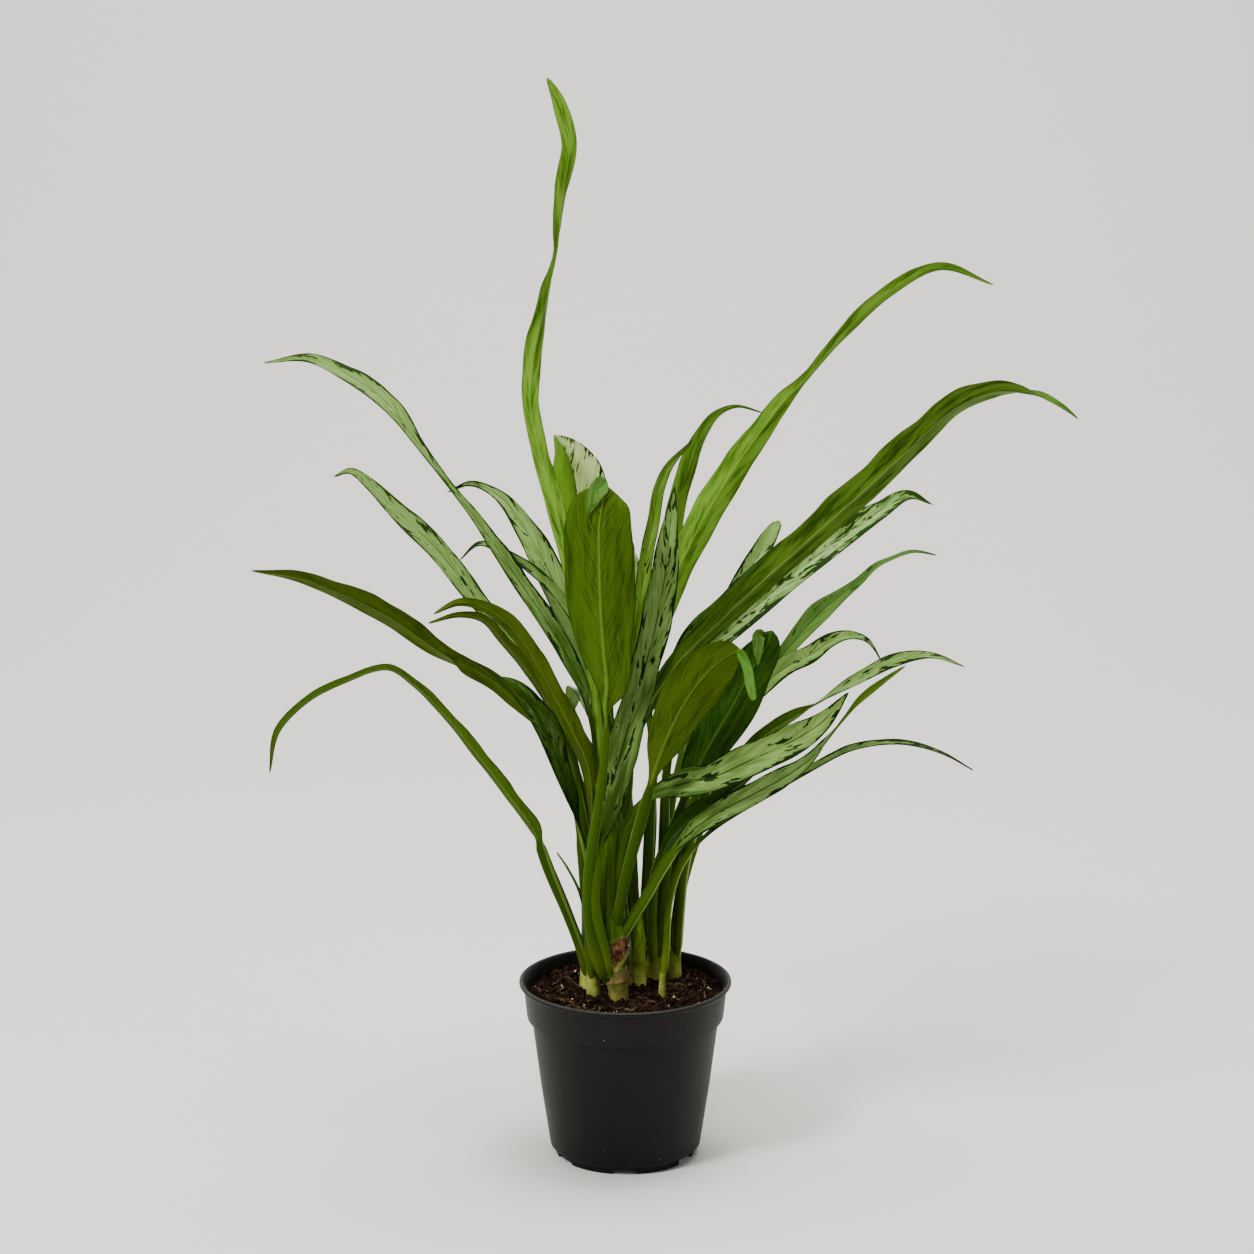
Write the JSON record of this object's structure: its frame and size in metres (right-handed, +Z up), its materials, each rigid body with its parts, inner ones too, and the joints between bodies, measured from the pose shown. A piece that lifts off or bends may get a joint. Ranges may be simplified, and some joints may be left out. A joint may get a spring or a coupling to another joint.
{
  "type": "potted narrow-leaved foliage plant",
  "caption": "Potted Chinese evergreen with long, narrow, silver-green leaves on upright stems, standing in soil in a round black plastic nursery pot.",
  "frame": {"origin": "middle of the pot's flat underside, on the surface that the pot stands on", "axes": "+Z up along the pot's axis, -Y towards the pictured front, +X to the front view's right"},
  "size_m": [0.4568, 0.3262, 0.6024],
  "materials": {
    "pot_plastic": "matte moulded, near black, with fine dust",
    "soil": null,
    "leaf": null
  },
  "bodies": {
    "root": {"pot": "pot_plastic", "soil": "soil", "shoot_main": "leaf", "shoot_left": "leaf", "shoot_far_left": "leaf", "shoot_back": "leaf", "shoot_right": "leaf", "shoot_far_right": "leaf", "shoot_sprout": "leaf"}
  },
  "joints": []
}
